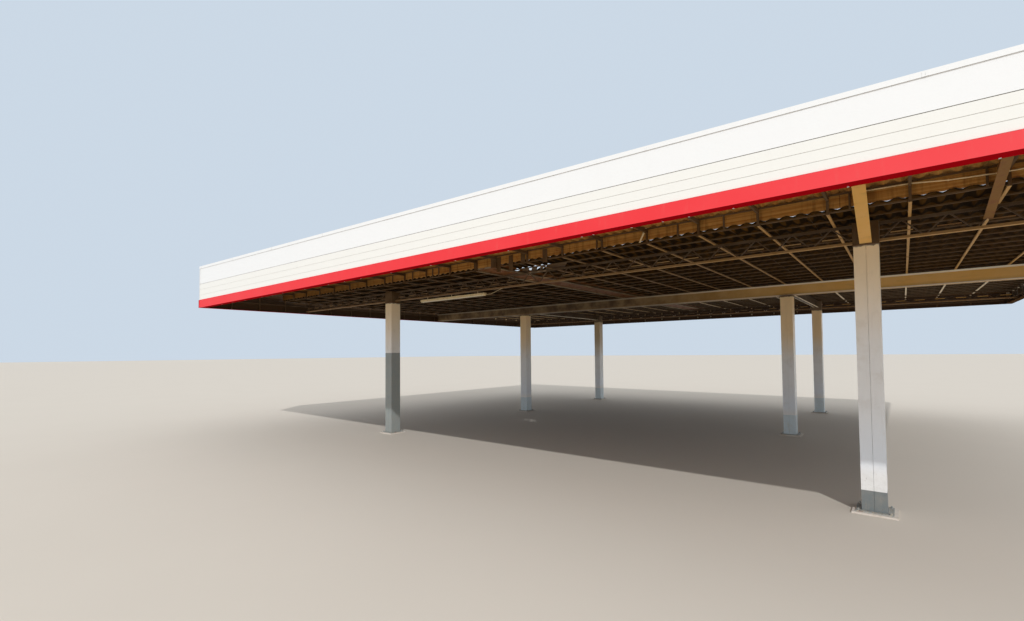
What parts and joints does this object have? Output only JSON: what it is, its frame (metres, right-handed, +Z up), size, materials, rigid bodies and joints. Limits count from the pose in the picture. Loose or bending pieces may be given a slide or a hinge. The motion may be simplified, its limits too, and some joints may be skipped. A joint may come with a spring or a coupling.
{
  "type": "filling station canopy",
  "caption": "Open steel canopy on box columns with lattice girders, a roof of wavy sheets and a deep tapered white fascia with a red lower band",
  "frame": {"origin": "on the ground at the middle of the plan", "axes": "+X runs to the right along the front fascia, +Y runs from the front to the back, +Z is up"},
  "size_m": [25.72, 22.74, 6.636],
  "materials": {
    "mortar": "rough mortar pad",
    "base_steel": "grey paint, weathered",
    "column_paint": "white gloss paint, dusty, grey band at the foot",
    "ochre_steel": "old ochre paint with rust stains",
    "frame_steel": "old brown paint, rust tinted",
    "dark_steel": "dark brown paint, sooty",
    "eave_sheet": "light brown, stained",
    "roof_sheet": "dull zinc, brown with age",
    "zinc_flashing": "dull zinc, stained",
    "white_panel": "white satin",
    "cream_board": "off-white satin",
    "red_band": "red satin",
    "cap_flashing": "white satin",
    "light_housing": "cream enamel, yellowed",
    "light_tube": "milky tube, unlit"
  },
  "bodies": {
    "root": {"base_pads": "mortar", "base_plates": "base_steel", "column_front_left": "column_paint", "column_front_right": "column_paint", "column_middle_left": "column_paint", "column_middle_right": "column_paint", "column_back_left": "column_paint", "column_back_right": "column_paint", "column_heads": "dark_steel", "front_girder": "frame_steel", "middle_girder": "ochre_steel", "back_girder": "frame_steel", "column_line_beams": "frame_steel", "roof_rafters": "frame_steel", "centre_rafters": "ochre_steel", "eave_rafters": "dark_steel", "eave_posts": "dark_steel", "front_brackets": "ochre_steel", "roof_purlins": "dark_steel", "eave_purlins": "dark_steel", "main_roof_sheets_left": "roof_sheet", "main_roof_sheets_right": "roof_sheet", "front_eave_sheets": "eave_sheet", "back_eave_sheets": "eave_sheet", "step_flashings": "eave_sheet", "centre_gutter": "zinc_flashing", "front_fascia_panel": "white_panel", "front_fascia_boards": "cream_board", "front_red_band": "red_band", "front_fascia_frame": "frame_steel", "back_fascia_panel": "white_panel", "back_fascia_boards": "cream_board", "back_red_band": "red_band", "back_fascia_frame": "frame_steel", "left_fascia_panel": "white_panel", "left_fascia_boards": "cream_board", "left_red_band": "red_band", "left_fascia_frame": "frame_steel", "right_fascia_panel": "white_panel", "right_fascia_boards": "cream_board", "right_red_band": "red_band", "right_fascia_frame": "frame_steel", "fascia_caps": "cap_flashing", "light_battens": "light_housing", "light_tubes": "light_tube"}
  },
  "joints": []
}
